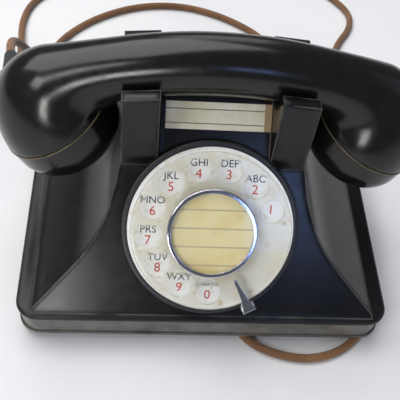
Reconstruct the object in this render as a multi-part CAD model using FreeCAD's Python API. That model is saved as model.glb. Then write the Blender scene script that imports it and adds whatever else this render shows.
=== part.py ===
"""Desk telephone with a rotary dial, a cradled handset and two cloth cords.

Millimetres, +Z up, the dial faces -Y. The origin is on the table, under the middle of the base.
"""
import FreeCAD
import Part
import math
import os

from FreeCAD import Placement, Rotation, Vector

# Base and housing
BASE_WIDTH = 192.0
BASE_DEPTH = 168.0
BASE_CORNER = 11.0
FOOT_HEIGHT = 5.0
RIM_TOP = 22.5
RIM_HEIGHT = 3.5
BEAD_HEIGHT = 2.0
RIM_INSET = 1.2
WALL = 3.2
FACE_ANGLE = 49.63
FACE_BACK = 32.8
FACE_Z = 58.1
RIDGE_Z = 107.5
RIDGE_BACK = 1.5
REAR_LEDGE = 3.0
NECK_HALF = 45.0
NECK_Z = 89.0
FLARE_RADIUS = 62.0
FLARE_X = 66.6
FLARE_Z = 42.0
LEDGE_WIDTH = 8.5
LEDGE_Z = 24.0

# Cradle
CRADLE_BACK = 43.2
EAR_INNER = 27.5
EAR_TOP = 125.4
EAR_DROP = 1.6
EAR_REACH = 23.5
EAR_ROOT_Z = 92.0
TROUGH_RADIUS = 17.5
TROUGH_Z = 123.2

# Base plate, feet and screws
PLATE_THICKNESS = 2.0
PLATE_GAP = 0.3
FOOT_RADIUS = 7.0
FOOT_SIDE = 34.0
FOOT_END = 26.0
BOSS_RADIUS = 4.5
BOSS_EDGE = 19.0
SCREW_RADIUS = 1.6
SCREW_HEAD_RADIUS = 3.2
SCREW_HEAD_HEIGHT = 1.8
SCREW_LENGTH = 9.0

# Dial
CASE_STEP = 2.3
CASE_WALL = 1.8
CASE_DEPTH = 20.0
CASE_FIT = 0.3
COLLAR_MARGIN = 1.5
COLLAR_HEIGHT = 4.0
COLLAR_WALL = 3.0
NUMBER_PLATE_SEAT = 3.0
NUMBER_PLATE_THICKNESS = 2.0
NUMBER_PLATE_HOLE = 10.0
WHEEL_RADIUS = 39.5
WHEEL_THICKNESS = 3.4
WHEEL_LIFT = 2.6
HOLE_RADIUS = 6.0
HOLE_MARGIN = 8.5
HOLE_COUNT = 10
HOLE_STEP = 360.0 / 13.0
HOLE_START = 20.5
STOP_ANGLE = 298.0
STOP_WIDTH = 7.0
STOP_WAIST = 3.2
STOP_TIP = 1.8
STOP_INNER = 27.0
STOP_THICKNESS = 1.6
STOP_CLEARANCE = 1.0
BEZEL_RADIUS = 22.0
BEZEL_WALL = 1.5
BEZEL_HEIGHT = 3.2
BEZEL_LIP = 0.6
CARD_THICKNESS = 0.5
WINDOW_THICKNESS = 1.0
SHAFT_RADIUS = 3.0
HUB_RADIUS = 8.0
SHAFT_FIT = 0.05
BRIDGE_WIDTH = 16.0
BRIDGE_THICKNESS = 2.0
CONTACT_ROOM = 12.9
GEAR_TEETH = 78
PINION_TEETH = 12
GEAR_Z = -9.0
GEAR_THICKNESS = 2.0
PULSE_SHAFT_RADIUS = 1.5
CAM_LENGTH = 9.0
CAM_WIDTH = 4.0
CAM_THICKNESS = 2.0
CAM_GAP = 2.0
SPRING_GAP = 1.0
SPRING_DEPTH = 6.4

# Handset
HANDLE_RADIUS = 14.5
HANDLE_Z = 126.7
HANDLE_ARC = 197.0
HANDLE_REACH = 86.0
TAPER_FROM = 48.0
SHOULDER_X = 72.0
SHOULDER_DROP = 1.6
SHOULDER_RADIUS = 19.0
CUP_RADIUS = 28.5
CUP_HEIGHT = 36.0
CUP_FULLNESS = 1.5
CUP_BORE = 24.0
CUP_BORE_DEPTH = 9.0
CAPSULE_FIT = 0.4
CAP_FACE_RADIUS = 20.0
CAP_SHOULDER = 3.5
CAP_RECESS = 4.0
CAP_HOLE_RADIUS = 1.5
CAP_HOLE_CIRCLE = 11.0
CAP_HOLES = 8
SENDER_X = -77.8
SENDER_Z = 91.0
SENDER_TILT = 30.0
SENDER_CAP = 24.0
RECEIVER_X = 78.2
RECEIVER_Z = 88.0
RECEIVER_TILT = 25.0
RECEIVER_CAP = 21.0

# Hook switch
PLUNGER_X = 36.0
PLUNGER_RADIUS = 3.0
PLUNGER_GAP = 0.3
YOKE_Z = 84.0
YOKE_HEIGHT = 6.0
YOKE_WIDTH = 8.0
HOOK_BRACKET_BACK = 12.0
HOOK_BRACKET_WIDTH = 30.0
HOOK_BRACKET_THICKNESS = 2.0
CONTACT_DEPTH = 10.0
CONTACT_HEIGHT = 7.0
CONTACT_GAP = 1.0

# Ringer
RINGER_PLATE = 2.0
RINGER_HALF_WIDTH = 36.0
RINGER_LIP = 1.0
RINGER_REAR = 18.0
COIL_X = 12.0
COIL_GAP = 3.0
COIL_RADIUS = 8.0
COIL_HEIGHT = 25.0
GONG_X = 32.0
GONG_BACK = 27.0
GONG_RADIUS = 24.0
GONG_WALL = 1.6
GONG_HEIGHT = 11.0
GONG_POST = 5.0
GONG_POST_RADIUS = 3.0
CLAPPER_RADIUS = 4.0
CLAPPER_ROD = 1.2
ARMATURE = 6.0
PIVOT_RADIUS = 1.0

# Circuit pieces on the base plate
SIDE_EDGE = 35.0
SIDE_FRONT = -30.0
SIDE_REAR = 15.0
CONDENSER_WIDTH = 20.0
CONDENSER_HEIGHT = 17.0
INDUCTION_RADIUS = 9.0
TERMINAL_SIDE = 23.0
TERMINAL_END = 43.0
TERMINAL_WIDTH = 20.0
TERMINAL_DEPTH = 30.0
TERMINAL_HEIGHT = 9.0
TERMINAL_SCREWS = 4

# Label on the slope
LABEL_WIDTH = 51.5
LABEL_HEIGHT = 13.3
LABEL_X = 1.5
LABEL_RIM_GAP = 3.0
LABEL_THICKNESS = 0.6

# Cords
CORD_RADIUS = 2.3
OUTLET_Z = 11.5
GROMMET_RADIUS = 4.2
GROMMET_LENGTH = 9.0
GROMMET_PROUD = 2.8
LINE_OUTLET_X = -20.0
HANDSET_OUTLET_X = 57.0
BOOT_BASE = Vector(-98.6, 6.6, 102.7)
BOOT_DIRECTION = Vector(-0.2, 0.93, -0.3)
BOOT_LENGTH = 18.0
BOOT_RADIUS = 5.0
BOOT_TIP_RADIUS = 3.4
COIL_CENTRE = Vector(6.0, 268.0, 0.0)
COIL_TURN_RADIUS = 25.0
COIL_TURNS = 3
COIL_PITCH = 4.8
TIE_THICKNESS = 1.0
TIE_WIDTH = 6.0
PLUG_RADIUS = 11.0
PLUG_LENGTH = 26.0
PLUG_NECK = 8.0
PLUG_NECK_RADIUS = 4.5
PRONG_LENGTH = 12.0
PRONG_RADIUS = 2.0
PRONG_OFFSET = 5.0

# Shared levels
PLATE_TOP = FOOT_HEIGHT + PLATE_THICKNESS
HALF_W = BASE_WIDTH / 2.0
HALF_D = BASE_DEPTH / 2.0
FACE_Y = FACE_BACK - HALF_D
CRADLE_Y = FACE_Y + CRADLE_BACK
RIDGE_REAR_Y = CRADLE_Y + RIDGE_BACK
REAR_FOOT_Y = HALF_D - REAR_LEDGE
LEDGE_X = HALF_W - LEDGE_WIDTH
FOOT_X = HALF_W - FOOT_SIDE
FOOT_Y = HALF_D - FOOT_END
BOSS_X = HALF_W - BOSS_EDGE
BOSS_Y = HALF_D - BOSS_EDGE
SIDE_X = HALF_W - SIDE_EDGE
TERMINAL_X = TERMINAL_SIDE - HALF_W
TERMINAL_Y = HALF_D - TERMINAL_END
HOOK_BRACKET_Y = CRADLE_Y + HOOK_BRACKET_BACK
COIL_Y = HOOK_BRACKET_Y + HOOK_BRACKET_THICKNESS + COIL_GAP + COIL_RADIUS
GONG_Y = COIL_Y + GONG_BACK
RINGER_FRONT_Y = COIL_Y - COIL_RADIUS - RINGER_LIP
RINGER_REAR_Y = GONG_Y + RINGER_REAR
COLLAR_RADIUS = WHEEL_RADIUS + COLLAR_MARGIN + COLLAR_WALL
CASE_RADIUS = COLLAR_RADIUS - CASE_STEP
HOLE_CIRCLE = WHEEL_RADIUS - HOLE_MARGIN
FACE_SLOPE = math.tan(math.radians(FACE_ANGLE))
NUMBER_PLATE_TOP = NUMBER_PLATE_SEAT + NUMBER_PLATE_THICKNESS
WHEEL_BOTTOM = NUMBER_PLATE_TOP + WHEEL_LIFT
WHEEL_TOP = WHEEL_BOTTOM + WHEEL_THICKNESS
CASE_FLOOR = -CASE_DEPTH + CASE_WALL
PULSE_OFFSET = CASE_RADIUS - CASE_WALL - CONTACT_ROOM
GEAR_MODULE = 2.0 * PULSE_OFFSET / (GEAR_TEETH + PINION_TEETH)
DIAL_PLACE = Placement(Vector(0, FACE_Y, FACE_Z), Rotation(Vector(1, 0, 0), FACE_ANGLE))
Z_AXIS = Vector(0, 0, 1)


def cylinder(radius, bottom, top, x=0.0, y=0.0):
    """Upright cylinder between two heights."""
    return Part.makeCylinder(radius, top - bottom, Vector(x, y, bottom))


def block(x0, x1, y0, y1, z0, z1):
    """Box between two corners."""
    return Part.makeBox(x1 - x0, y1 - y0, z1 - z0, Vector(x0, y0, z0))


def ring(outer, inner, bottom, top):
    """Upright ring between two heights."""
    return cylinder(outer, bottom, top).cut(cylinder(inner, bottom - 1.0, top + 1.0))


def rounded_slab(half_x, half_y, corner, bottom, top):
    """Slab with rounded upright corners."""
    slab = block(-half_x, half_x, -half_y, half_y, bottom, top)
    upright = [e for e in slab.Edges if abs(e.tangentAt(e.FirstParameter).z) > 0.9]
    return slab.makeFillet(corner, upright)


def face_y(z, inset=0.0):
    """Y of the dial slope at a height, moved inwards by a wall."""
    return FACE_Y + (z - FACE_Z) / FACE_SLOPE + inset / math.sin(math.radians(FACE_ANGLE))


def hull_form(inset, bottom):
    """Slopes, flanks and plan of the housing, moved inwards by a wall."""
    ridge = RIDGE_Z - inset
    front_low = face_y(RIM_TOP, inset)
    rear_run = REAR_FOOT_Y - RIDGE_REAR_Y
    rear_fall = RIDGE_Z - RIM_TOP
    rear_shift = inset * math.hypot(rear_run, rear_fall) / rear_fall
    rear_top = RIDGE_REAR_Y + inset * rear_run / rear_fall - rear_shift
    side = [(front_low, bottom), (front_low, RIM_TOP), (face_y(ridge, inset), ridge),
            (max(rear_top, face_y(ridge, inset) + 1.0), ridge), (REAR_FOOT_Y - rear_shift, RIM_TOP),
            (REAR_FOOT_Y - rear_shift, bottom)]
    side_points = [Vector(-HALF_W, y, z) for y, z in side]
    side_face = Part.Face(Part.makePolygon(side_points + side_points[:1]))
    slopes = side_face.extrude(Vector(BASE_WIDTH, 0, 0))
    return slopes.common(flank_form(inset, bottom))


def flank_form(inset, bottom):
    """Both flared flanks as one block along Y, moved inwards by a wall."""
    arc_centre = Vector(NECK_HALF + FLARE_RADIUS, 0, NECK_Z)
    reach = FLARE_RADIUS + inset
    low_angle = math.atan2(FLARE_Z - NECK_Z, FLARE_X - arc_centre.x)
    mid_angle = (low_angle - math.pi) / 2.0
    on_arc = [arc_centre + Vector(math.cos(a), 0, math.sin(a)) * reach
              for a in (math.pi, mid_angle, low_angle)]
    ledge = Vector(LEDGE_X - inset, 0, LEDGE_Z)
    foot = Vector(LEDGE_X - inset, 0, bottom)
    top = Vector(on_arc[0].x, 0, EAR_TOP)

    def mirrored(point):
        return Vector(-point.x, 0, point.z)

    edges = [Part.makeLine(foot, ledge), Part.makeLine(ledge, on_arc[2]),
             Part.Arc(on_arc[2], on_arc[1], on_arc[0]).toShape(), Part.makeLine(on_arc[0], top),
             Part.makeLine(top, mirrored(top)), Part.makeLine(mirrored(top), mirrored(on_arc[0])),
             Part.Arc(mirrored(on_arc[0]), mirrored(on_arc[1]), mirrored(on_arc[2])).toShape(),
             Part.makeLine(mirrored(on_arc[2]), mirrored(ledge)),
             Part.makeLine(mirrored(ledge), mirrored(foot)),
             Part.makeLine(mirrored(foot), foot)]
    profile = Part.Face(Part.Wire(edges))
    profile.translate(Vector(0, -HALF_D, 0))
    return profile.extrude(Vector(0, BASE_DEPTH, 0))


def ear_pair(side):
    """Front and rear cradle ears of one side, before the trough is cut between them."""
    outer = NECK_HALF
    front = CRADLE_Y - EAR_REACH
    points = [Vector(EAR_INNER, front, EAR_ROOT_Z), Vector(outer, front, EAR_ROOT_Z),
              Vector(outer, front, EAR_TOP - EAR_DROP), Vector(EAR_INNER, front, EAR_TOP)]
    body = Part.Face(Part.makePolygon(points + points[:1])).extrude(Vector(0, 2.0 * EAR_REACH, 0))
    under = hull_form(0.0, FOOT_HEIGHT)
    pillar = block(EAR_INNER, outer, front, CRADLE_Y + EAR_REACH, RIM_TOP, EAR_ROOT_Z)
    body = body.fuse(pillar.cut(under))
    if side < 0:
        body = body.mirror(Vector(0, 0, 0), Vector(1, 0, 0))
    return body


def housing():
    """Hollow moulded shell with rim, ears, screw bosses and the openings in it."""
    band_half_x = HALF_W - RIM_INSET
    band_half_y = HALF_D - RIM_INSET
    outside = hull_form(0.0, FOOT_HEIGHT)
    outside = outside.fuse(rounded_slab(band_half_x, band_half_y, BASE_CORNER, FOOT_HEIGHT, RIM_TOP))
    rim = rounded_slab(HALF_W, HALF_D, BASE_CORNER, RIM_TOP - RIM_HEIGHT, RIM_TOP)
    outside = outside.fuse(rim.makeFillet(RIM_HEIGHT * 0.4, level_edges(rim)))
    bead_inset = RIM_INSET / 2.0
    outside = outside.fuse(rounded_slab(HALF_W - bead_inset, HALF_D - bead_inset, BASE_CORNER,
                                        FOOT_HEIGHT, FOOT_HEIGHT + BEAD_HEIGHT))
    outside = outside.fuse([ear_pair(1), ear_pair(-1)])
    for side in (-1, 1):
        start = Vector(side * EAR_INNER, CRADLE_Y, TROUGH_Z)
        outside = outside.cut(Part.makeCylinder(TROUGH_RADIUS, NECK_HALF, start, Vector(side, 0, 0)))
    outside = outside.removeSplitter()
    inside = hull_form(WALL, FOOT_HEIGHT - 1.0)
    inside = inside.fuse(rounded_slab(band_half_x - WALL, band_half_y - WALL, BASE_CORNER - WALL,
                                      FOOT_HEIGHT - 1.0, RIM_TOP - WALL))
    shell = outside.cut(inside)
    for x in (-BOSS_X, BOSS_X):
        for y in (-BOSS_Y, BOSS_Y):
            shell = shell.fuse(cylinder(BOSS_RADIUS, PLATE_TOP, RIDGE_Z, x, y).common(outside))
            shell = shell.cut(cylinder(SCREW_RADIUS, PLATE_TOP - 1.0, FOOT_HEIGHT + SCREW_LENGTH, x, y))
    opening = cylinder(CASE_RADIUS + CASE_FIT, -2.0 * WALL, COLLAR_HEIGHT)
    recess = cylinder(COLLAR_RADIUS + CASE_FIT, 0.0, COLLAR_HEIGHT + CASE_FIT)
    shell = shell.cut(on_dial(opening.fuse(recess)))
    for x in (-PLUNGER_X, PLUNGER_X):
        shell = shell.cut(cylinder(PLUNGER_RADIUS + SHAFT_FIT, YOKE_Z, TROUGH_Z, x, CRADLE_Y))
    for x in (LINE_OUTLET_X, HANDSET_OUTLET_X):
        start = Vector(x, HALF_D - 3.0 * WALL, OUTLET_Z)
        shell = shell.cut(Part.makeCylinder(GROMMET_RADIUS, 4.0 * WALL, start, Vector(0, 1, 0)))
    return shell.removeSplitter()


def level_edges(shape):
    """Edges that lie flat, all round a slab."""
    return [e for e in shape.Edges if abs(e.BoundBox.ZLength) < 1e-6]


def base_plate():
    """Bottom plate inside the band, with the four screw holes."""
    half_x = HALF_W - RIM_INSET - WALL - PLATE_GAP
    half_y = HALF_D - RIM_INSET - WALL - PLATE_GAP
    plate = rounded_slab(half_x, half_y, BASE_CORNER - WALL, FOOT_HEIGHT, PLATE_TOP)
    for x in (-BOSS_X, BOSS_X):
        for y in (-BOSS_Y, BOSS_Y):
            plate = plate.cut(cylinder(SCREW_RADIUS, 0.0, PLATE_TOP + 1.0, x, y))
    return plate


def foot(x, y):
    """Rubber foot with a rounded lower edge."""
    body = cylinder(FOOT_RADIUS, 0.0, FOOT_HEIGHT, x, y)
    low = [e for e in level_edges(body) if e.BoundBox.ZMin < FOOT_HEIGHT / 2.0]
    return body.makeFillet(FOOT_RADIUS / 7.0, low)


def base_screw(x, y):
    """Cheese-head screw up through the plate into its boss."""
    stem = cylinder(SCREW_RADIUS, FOOT_HEIGHT, FOOT_HEIGHT + SCREW_LENGTH, x, y)
    head = cylinder(SCREW_HEAD_RADIUS, FOOT_HEIGHT - SCREW_HEAD_HEIGHT, FOOT_HEIGHT, x, y)
    low = FOOT_HEIGHT - SCREW_HEAD_HEIGHT
    slot = block(x - SCREW_HEAD_RADIUS, x + SCREW_HEAD_RADIUS, y - 0.4, y + 0.4, low - 1.0, low + 0.8)
    return stem.fuse(head).cut(slot)


def on_dial(shape):
    """Move a shape from the dial's own frame onto the slope."""
    shape.Placement = DIAL_PLACE.multiply(shape.Placement)
    return shape


def at_angle(radius, degrees, z=0.0):
    """Point on a circle about the dial's axis."""
    angle = math.radians(degrees)
    return Vector(radius * math.cos(angle), radius * math.sin(angle), z)


def dial_case():
    """Cup that carries the dial: collar outside, ledge for the number plate, floor with two bearings."""
    inner = CASE_RADIUS - CASE_WALL
    seat = COLLAR_RADIUS - COLLAR_WALL
    body = cylinder(CASE_RADIUS, -CASE_DEPTH, 0.0).fuse(cylinder(COLLAR_RADIUS, 0.0, COLLAR_HEIGHT))
    body = body.cut(cylinder(inner, CASE_FLOOR, NUMBER_PLATE_SEAT - BRIDGE_THICKNESS))
    body = body.cut(cylinder(inner - CASE_WALL * 2.0, CASE_FLOOR, NUMBER_PLATE_SEAT + 1.0))
    body = body.cut(cylinder(seat, NUMBER_PLATE_SEAT, COLLAR_HEIGHT + 1.0))
    body = body.cut(cylinder(SHAFT_RADIUS + SHAFT_FIT, -CASE_DEPTH - 1.0, 0.0))
    body = body.cut(cylinder(PULSE_SHAFT_RADIUS + SHAFT_FIT, -CASE_DEPTH - 1.0, 0.0, 0.0, PULSE_OFFSET))
    top = [e for e in level_edges(body) if abs(e.BoundBox.ZMax - COLLAR_HEIGHT) < 1e-6]
    return on_dial(body.makeFillet(COLLAR_WALL * 0.3, top))


def dial_bridge():
    """Bar across the case under the number plate's ledge, with the upper bearings."""
    inner = CASE_RADIUS - CASE_WALL
    top = NUMBER_PLATE_SEAT - BRIDGE_THICKNESS
    bar = block(-BRIDGE_WIDTH / 2.0, BRIDGE_WIDTH / 2.0, -inner, inner, top - BRIDGE_THICKNESS, top)
    bar = bar.common(cylinder(inner, -CASE_DEPTH, top))
    bar = bar.cut(cylinder(SHAFT_RADIUS + SHAFT_FIT, -CASE_DEPTH, COLLAR_HEIGHT))
    bar = bar.cut(cylinder(PULSE_SHAFT_RADIUS + SHAFT_FIT, -CASE_DEPTH, COLLAR_HEIGHT, 0.0, PULSE_OFFSET))
    return on_dial(bar)


def number_plate():
    """Fixed enamelled plate under the finger wheel."""
    return on_dial(ring(COLLAR_RADIUS - COLLAR_WALL, NUMBER_PLATE_HOLE, NUMBER_PLATE_SEAT, NUMBER_PLATE_TOP))


def finger_wheel():
    """Clear wheel with the ring of finger holes."""
    body = ring(WHEEL_RADIUS, SHAFT_RADIUS, WHEEL_BOTTOM, WHEEL_TOP)
    rims = [e for e in level_edges(body) if e.Curve.Radius > HUB_RADIUS]
    body = body.makeFillet(WHEEL_THICKNESS * 0.3, rims)
    for index in range(HOLE_COUNT):
        centre = at_angle(HOLE_CIRCLE, HOLE_START + index * HOLE_STEP)
        body = body.cut(cylinder(HOLE_RADIUS, 0.0, WHEEL_TOP + 1.0, centre.x, centre.y))
    return on_dial(body)


def finger_stop():
    """Bent metal stop from the collar over the edge of the wheel, hollowed to a narrow tip."""
    low = WHEEL_TOP + STOP_CLEARANCE
    high = low + STOP_THICKNESS
    half = STOP_WIDTH / 2.0
    spans = ((COLLAR_RADIUS, half), ((STOP_INNER + COLLAR_RADIUS) / 2.0, STOP_WAIST / 2.0),
             (STOP_INNER, STOP_TIP / 2.0))
    left = [Vector(x, y, low) for x, y in spans]
    right = [Vector(x, -y, low) for x, y in spans]
    edges = [Part.Arc(*left).toShape(), Part.makeLine(left[2], right[2]),
             Part.Arc(*reversed(right)).toShape(), Part.makeLine(right[0], left[0])]
    arm = Part.Face(Part.Wire(edges)).extrude(Vector(0, 0, STOP_THICKNESS))
    tip = cylinder(STOP_TIP / 2.0, low, high, STOP_INNER, 0.0)
    post_inner = COLLAR_RADIUS - COLLAR_WALL + COLLAR_WALL * 0.3
    post = block(post_inner, COLLAR_RADIUS - COLLAR_WALL * 0.3, -half, half, COLLAR_HEIGHT, low)
    stop = arm.fuse([tip, post]).removeSplitter()
    stop.rotate(Vector(0, 0, 0), Z_AXIS, STOP_ANGLE)
    return on_dial(stop)


def card_bezel():
    """Bright ring in the middle of the wheel, with a lip over the window."""
    inner = BEZEL_RADIUS - BEZEL_WALL
    top = WHEEL_TOP + BEZEL_HEIGHT
    body = ring(BEZEL_RADIUS, inner - BEZEL_LIP, WHEEL_TOP, top)
    body = body.cut(cylinder(inner, WHEEL_TOP - 1.0, top - BEZEL_LIP))
    outer_top = [e for e in level_edges(body) if e.BoundBox.ZMax > top - 1e-6 and e.Curve.Radius > inner]
    return on_dial(body.makeFillet(BEZEL_WALL * 0.4, outer_top))


def number_card():
    """Paper card on the wheel inside the bezel."""
    return on_dial(cylinder(BEZEL_RADIUS - BEZEL_WALL, WHEEL_TOP, WHEEL_TOP + CARD_THICKNESS))


def card_window():
    """Clear disc under the bezel's lip."""
    top = WHEEL_TOP + BEZEL_HEIGHT - BEZEL_LIP
    return on_dial(cylinder(BEZEL_RADIUS - BEZEL_WALL, top - WINDOW_THICKNESS, top))


def dial_shaft():
    """Main shaft with the hub under the wheel."""
    body = cylinder(SHAFT_RADIUS, -CASE_DEPTH, WHEEL_TOP)
    return on_dial(body.fuse(cylinder(HUB_RADIUS, NUMBER_PLATE_TOP, WHEEL_BOTTOM)))


def toothed_disc(teeth, bore, bottom, thickness, phase):
    """Spur gear with straight-sided teeth that leave room for backlash."""
    pitch_radius = GEAR_MODULE * teeth / 2.0
    root = pitch_radius - 1.3 * GEAR_MODULE
    tip = pitch_radius + 0.8 * GEAR_MODULE
    step = 360.0 / teeth
    points = []
    for index in range(teeth):
        middle = phase + index * step
        for radius, share in ((root, -0.32), (tip, -0.11), (tip, 0.11), (root, 0.32)):
            points.append(at_angle(radius, middle + share * step, bottom))
    face = Part.Face(Part.makePolygon(points + points[:1]))
    gear = face.extrude(Vector(0, 0, thickness))
    if bore > 0.0:
        gear = gear.cut(cylinder(bore, bottom - 1.0, bottom + thickness + 1.0))
    return gear


def main_gear():
    """Large gear on the main shaft, a tooth pointing at the pulse pinion."""
    return on_dial(toothed_disc(GEAR_TEETH, SHAFT_RADIUS, GEAR_Z, GEAR_THICKNESS, 90.0))


def pulse_shaft():
    """Pulse shaft with its pinion, a gap facing the main gear, and the two-lobed cam."""
    top = NUMBER_PLATE_SEAT - BRIDGE_THICKNESS
    body = cylinder(PULSE_SHAFT_RADIUS, -CASE_DEPTH, top)
    pinion = toothed_disc(PINION_TEETH, 0.0, GEAR_Z, GEAR_THICKNESS, -90.0 + 180.0 / PINION_TEETH)
    cam_top = GEAR_Z - CAM_GAP
    cam = block(-CAM_LENGTH / 2.0, CAM_LENGTH / 2.0, -CAM_WIDTH / 2.0, CAM_WIDTH / 2.0,
                cam_top - CAM_THICKNESS, cam_top)
    body = body.fuse([pinion, cam]).removeSplitter()
    body.translate(Vector(0, PULSE_OFFSET, 0))
    return on_dial(body)


def impulse_springs():
    """Contact block on the case floor, beside the cam's path."""
    near = PULSE_OFFSET + CAM_LENGTH / 2.0 + SPRING_GAP
    high = GEAR_Z - CAM_GAP
    body = block(-CAM_LENGTH / 2.0, CAM_LENGTH / 2.0, near, near + SPRING_DEPTH, CASE_FLOOR, high)
    return on_dial(body)


def label_card():
    """Paper label on the slope, just below the ridge."""
    up = (RIDGE_Z - FACE_Z) / math.sin(math.radians(FACE_ANGLE)) - LABEL_RIM_GAP
    left = LABEL_X - LABEL_WIDTH / 2.0
    return on_dial(block(left, left + LABEL_WIDTH, up - LABEL_HEIGHT, up, 0.0, LABEL_THICKNESS))


def cup_place(x, z, tilt, side):
    """Placement with +Z from the seam of a handset cup up into its dome."""
    return Placement(Vector(x, CRADLE_Y, z), Rotation(Vector(0, 1, 0), side * tilt))


def revolved(points):
    """Solid of revolution about Z of a closed profile of radius and height."""
    profile = [Vector(r, 0, z) for r, z in points]
    return Part.Face(Part.makePolygon(profile + profile[:1])).revolve(Vector(0, 0, 0), Z_AXIS, 360)


def cup_dome():
    """Rounded back of a cup above its seam, between a paraboloid and an ellipsoid by its fullness."""
    steps = 10
    curve = []
    for index in range(steps + 1):
        turn = math.pi / 2.0 * index / steps
        height = CUP_HEIGHT * math.cos(turn) ** (2.0 / CUP_FULLNESS)
        curve.append(Vector(CUP_RADIUS * math.sin(turn), 0, height))
    spline = Part.BSplineCurve()
    spline.interpolate(curve)
    edges = [spline.toShape(), Part.makeLine(curve[-1], Vector(0, 0, 0)),
             Part.makeLine(Vector(0, 0, 0), curve[0])]
    return Part.Face(Part.Wire(edges)).revolve(Vector(0, 0, 0), Z_AXIS, 360)


def grip_z(x):
    """Height of the grip's middle line at a distance from the middle."""
    return HANDLE_Z - HANDLE_ARC + math.sqrt(HANDLE_ARC ** 2 - x ** 2)


def handle_bar():
    """Grip: one gentle arch that widens into the backs of both cups."""
    ends = [Vector(x, CRADLE_Y, grip_z(x)) for x in (-HANDLE_REACH, 0.0, HANDLE_REACH)]
    lean = math.asin(HANDLE_REACH / HANDLE_ARC)
    bar = pipe([Part.Arc(*ends).toShape()], HANDLE_RADIUS, Vector(math.cos(lean), 0, math.sin(lean)))
    for side in (-1, 1):
        start = Vector(side * TAPER_FROM, CRADLE_Y, grip_z(TAPER_FROM))
        end = Vector(side * SHOULDER_X, CRADLE_Y, grip_z(SHOULDER_X) - SHOULDER_DROP)
        taper = Part.makeCone(HANDLE_RADIUS, SHOULDER_RADIUS, (end - start).Length, start, end - start)
        bar = bar.fuse([taper, Part.makeSphere(SHOULDER_RADIUS, end)])
    return bar


def pipe(edges, radius, direction):
    """Round tube along joined edges."""
    path = Part.Wire(edges)
    start = edges[0].Vertexes[0].Point
    section = Part.Wire([Part.Circle(start, direction, radius).toShape()])
    return path.makePipeShell([section], True, True)


def handset_handle():
    """Grip and both cup backs in one moulding, bored for the capsules."""
    body = handle_bar()
    for place in (SENDER_PLACE, RECEIVER_PLACE):
        dome = cup_dome()
        dome.Placement = place
        body = body.fuse(dome)
    for place in (SENDER_PLACE, RECEIVER_PLACE):
        below = cylinder(2.0 * CUP_RADIUS, -CUP_HEIGHT, 0.0)
        below.Placement = place
        bore = cylinder(CUP_BORE, -1.0, CUP_BORE_DEPTH)
        bore.Placement = place
        body = body.cut(below).cut(bore)
    return body.removeSplitter()


def cup_cap(height, place):
    """Screwed cap of a cup: rounded skirt, flat face with sound holes, recess behind it."""
    rim = Vector(CUP_RADIUS, 0, -height * 0.4)
    shoulder = Vector(CUP_RADIUS - CAP_SHOULDER, 0, -height * 0.8)
    face = Vector(CAP_FACE_RADIUS, 0, -height)
    edges = [Part.makeLine(Vector(0, 0, 0), Vector(CUP_RADIUS, 0, 0)),
             Part.makeLine(Vector(CUP_RADIUS, 0, 0), rim),
             Part.Arc(rim, shoulder, face).toShape(), Part.makeLine(face, Vector(0, 0, -height)),
             Part.makeLine(Vector(0, 0, -height), Vector(0, 0, 0))]
    body = Part.Face(Part.Wire(edges)).revolve(Vector(0, 0, 0), Z_AXIS, 360)
    body = body.cut(cylinder(CUP_BORE, -CAP_RECESS, 1.0))
    for index in range(CAP_HOLES):
        centre = at_angle(CAP_HOLE_CIRCLE, index * 360.0 / CAP_HOLES)
        body = body.cut(cylinder(CAP_HOLE_RADIUS, -height - 1.0, 1.0, centre.x, centre.y))
    body.Placement = place
    return body


def capsule(place):
    """Disc unit between the cup's bore and its cap."""
    body = cylinder(CUP_BORE - CAPSULE_FIT, -CAP_RECESS, CUP_BORE_DEPTH)
    body.Placement = place
    return body


SENDER_PLACE = cup_place(SENDER_X, SENDER_Z, SENDER_TILT, -1)
RECEIVER_PLACE = cup_place(RECEIVER_X, RECEIVER_Z, RECEIVER_TILT, 1)


def plunger(x):
    """Round button rod through the trough, domed under the grip."""
    outer = abs(x) + PLUNGER_RADIUS
    top = grip_z(outer) - HANDLE_RADIUS * HANDLE_ARC / math.sqrt(HANDLE_ARC ** 2 - outer ** 2) - PLUNGER_GAP
    body = cylinder(PLUNGER_RADIUS, YOKE_Z + YOKE_HEIGHT, top, x, CRADLE_Y)
    upper = [e for e in level_edges(body) if e.BoundBox.ZMin > YOKE_Z + YOKE_HEIGHT]
    return body.makeFillet(PLUNGER_RADIUS / 3.0, upper)


def hook_yoke():
    """Cross bar that joins the feet of both plungers."""
    reach = PLUNGER_X + PLUNGER_RADIUS
    half = YOKE_WIDTH / 2.0
    return block(-reach, reach, CRADLE_Y - half, CRADLE_Y + half, YOKE_Z, YOKE_Z + YOKE_HEIGHT)


def hook_bracket():
    """Upright plate on the base plate that carries the hook contacts."""
    half = HOOK_BRACKET_WIDTH / 2.0
    top = YOKE_Z - CONTACT_GAP
    return block(-half, half, HOOK_BRACKET_Y, HOOK_BRACKET_Y + HOOK_BRACKET_THICKNESS, PLATE_TOP, top)


def hook_contacts():
    """Stack of contact blades on the bracket, below the yoke."""
    half = HOOK_BRACKET_WIDTH * 0.4
    top = YOKE_Z - CONTACT_GAP
    return block(-half, half, HOOK_BRACKET_Y - CONTACT_DEPTH, HOOK_BRACKET_Y, top - CONTACT_HEIGHT, top)


def ringer_bracket():
    """Flat frame of the ringer with the gong posts and the clapper's pivot pin."""
    top = PLATE_TOP + RINGER_PLATE
    body = block(-RINGER_HALF_WIDTH, RINGER_HALF_WIDTH, RINGER_FRONT_Y, RINGER_REAR_Y, PLATE_TOP, top)
    for side in (-1, 1):
        body = body.fuse(cylinder(GONG_POST_RADIUS, top, top + GONG_POST, side * GONG_X, GONG_Y))
    pin_top = top + GONG_POST + GONG_HEIGHT
    return body.fuse(cylinder(PIVOT_RADIUS, top, pin_top, 0.0, COIL_Y))


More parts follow.
